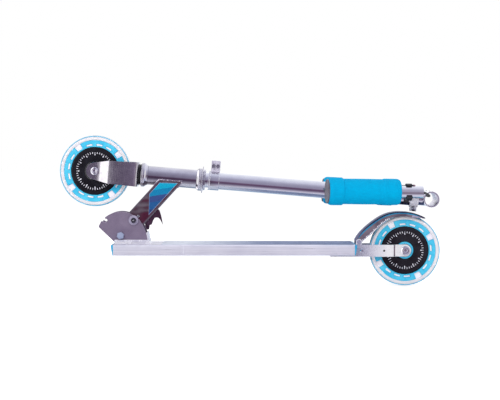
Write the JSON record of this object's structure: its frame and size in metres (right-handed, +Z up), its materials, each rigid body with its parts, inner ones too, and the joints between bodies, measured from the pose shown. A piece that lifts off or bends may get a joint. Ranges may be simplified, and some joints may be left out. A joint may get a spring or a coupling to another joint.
{
  "type": "folding kick scooter",
  "caption": "Folded kick scooter with clear tyres, chrome telescopic column, foam grips clipped back on an elastic cord, fender brake and quick-release fold bracket.",
  "frame": {"origin": "centre of the box around the folded scooter, on the plane under its rear wheel", "axes": "+X from the front wheel towards the rear wheel along the deck, +Y towards the side with the quick-release levers, +Z up, square to the deck's top"},
  "size_m": [0.643, 0.1529, 0.254],
  "materials": {
    "deck_metal": "satin silver lacquer",
    "mat": "clear gritty sheet",
    "blue_plastic": "gloss",
    "bracket_metal": "matte grey lacquer",
    "base_metal": "satin silver lacquer",
    "zinc": "zinc plated",
    "spring_steel": "oiled",
    "fender_chrome": "polished",
    "neck_metal": "gloss with a patterned wrap",
    "chrome": "polished",
    "fork_metal": "satin",
    "black_plastic": "matte",
    "lever_metal": "dark polished",
    "cord": "woven cover",
    "bar_metal": "polished",
    "foam": "matte foam",
    "cap_plastic": "matte",
    "clear_tyre": "clear cast rubber",
    "core_plastic": "gloss",
    "disc_plastic": "gloss"
  },
  "bodies": {
    "deck": {"deck_board": "deck_metal", "grip_mat": "mat", "front_end_cap": "blue_plastic", "rear_end_cap": "blue_plastic", "bracket_plates": "bracket_metal", "bracket_base": "base_metal", "pivot_bolt": "zinc", "pivot_nut": "zinc", "rear_arms": "base_metal", "arm_spacer": "zinc", "arm_screws": "zinc", "rear_axle_bolt": "zinc", "rear_axle_nut": "zinc", "rear_spacers": "zinc", "hinge_pin": "zinc", "brake_spring": "spring_steel"},
    "brake": {"fender": "fender_chrome"},
    "neck": {"neck_box": "neck_metal", "head_tube": "chrome", "lower_cup": "chrome", "upper_cup": "chrome", "headset_bearings": "zinc", "lock_bolt": "zinc", "lock_washers": "zinc"},
    "fold_lever": {"fold_lever": "lever_metal"},
    "column": {"fork": "fork_metal", "steerer_tube": "chrome", "lower_seal": "black_plastic", "headset_ring": "chrome", "headset_nut": "chrome", "stem_collar": "chrome", "collar_bolts": "zinc", "column_tube": "chrome", "height_clamp": "chrome", "clamp_bolt": "zinc", "grip_clip": "black_plastic", "front_axle_bolt": "zinc", "front_axle_nut": "zinc", "front_spacers": "zinc"},
    "clamp_lever": {"clamp_lever": "lever_metal"},
    "handlebar": {"inner_tube": "chrome", "handlebar_tube": "bar_metal", "elastic_cord": "cord"},
    "near_grip": {"near_grip_tube": "chrome", "near_grip_foam": "foam", "near_grip_cap": "cap_plastic"},
    "near_button": {"near_button": "zinc"},
    "far_grip": {"far_grip_tube": "chrome", "far_grip_foam": "foam", "far_grip_cap": "cap_plastic"},
    "far_button": {"far_button": "zinc"},
    "front_wheel": {"front_tyre": "clear_tyre", "front_core": "core_plastic", "front_discs": "disc_plastic", "front_bearings": "zinc"},
    "rear_wheel": {"rear_tyre": "clear_tyre", "rear_core": "core_plastic", "rear_discs": "disc_plastic", "rear_bearings": "zinc"}
  },
  "joints": [
    {"name": "fold", "type": "hinge", "parent": "deck", "child": "neck", "pos_m": [-0.2179, 0, 0.0853], "axis": [0, -1, 0], "range_deg": [0, 82]},
    {"name": "steer", "type": "hinge", "parent": "neck", "child": "column", "pos_m": [-0.13195, 0, 0.18317], "axis": [0.9965, 0, -0.0833], "range_deg": [-15, 15]},
    {"name": "bar_height", "type": "slide", "parent": "column", "child": "handlebar", "axis": [0.9965, 0, -0.0833], "range_m": [0, 0.12], "deforming": ["elastic_cord"]},
    {"name": "near_grip_pull", "type": "slide", "parent": "column", "child": "near_grip", "axis": [-0.9913, -0.1305, 0.0152], "range_m": [0, 0.03]},
    {"name": "near_button_press", "type": "slide", "parent": "near_grip", "child": "near_button", "axis": [-0.0154, 0, -0.9999], "range_m": [0, 0.0026], "stiffness_N_per_m": 300, "springref_m": -0.003},
    {"name": "far_grip_pull", "type": "slide", "parent": "column", "child": "far_grip", "axis": [-0.9907, 0.1305, 0.0377], "range_m": [0, 0.03]},
    {"name": "far_button_press", "type": "slide", "parent": "far_grip", "child": "far_button", "axis": [-0.038, 0, -0.9993], "range_m": [0, 0.0026], "stiffness_N_per_m": 300, "springref_m": -0.003},
    {"name": "front_wheel_spin", "type": "hinge", "parent": "column", "child": "front_wheel", "pos_m": [-0.2615, 0, 0.194], "axis": [0, 1, 0], "continuous": true},
    {"name": "rear_wheel_spin", "type": "hinge", "parent": "deck", "child": "rear_wheel", "pos_m": [0.2615, 0, 0.06], "axis": [0, 1, 0], "continuous": true},
    {"name": "brake_press", "type": "hinge", "parent": "deck", "child": "brake", "pos_m": [0.1833, 0, 0.0747], "axis": [0, 1, 0], "range_deg": [0, 1.4], "stiffness_Nm_per_rad": 6, "springref_deg": -2.86},
    {"name": "fold_lever_open", "type": "hinge", "parent": "neck", "child": "fold_lever", "pos_m": [-0.19591, 0.0273, 0.11123], "axis": [0, 0, 1], "range_deg": [0, 100]},
    {"name": "clamp_lever_open", "type": "hinge", "parent": "column", "child": "clamp_lever", "pos_m": [0.27607, 0.0117, 0.13038], "axis": [-0.9965, 0, 0.0833], "range_deg": [0, 90]}
  ]
}
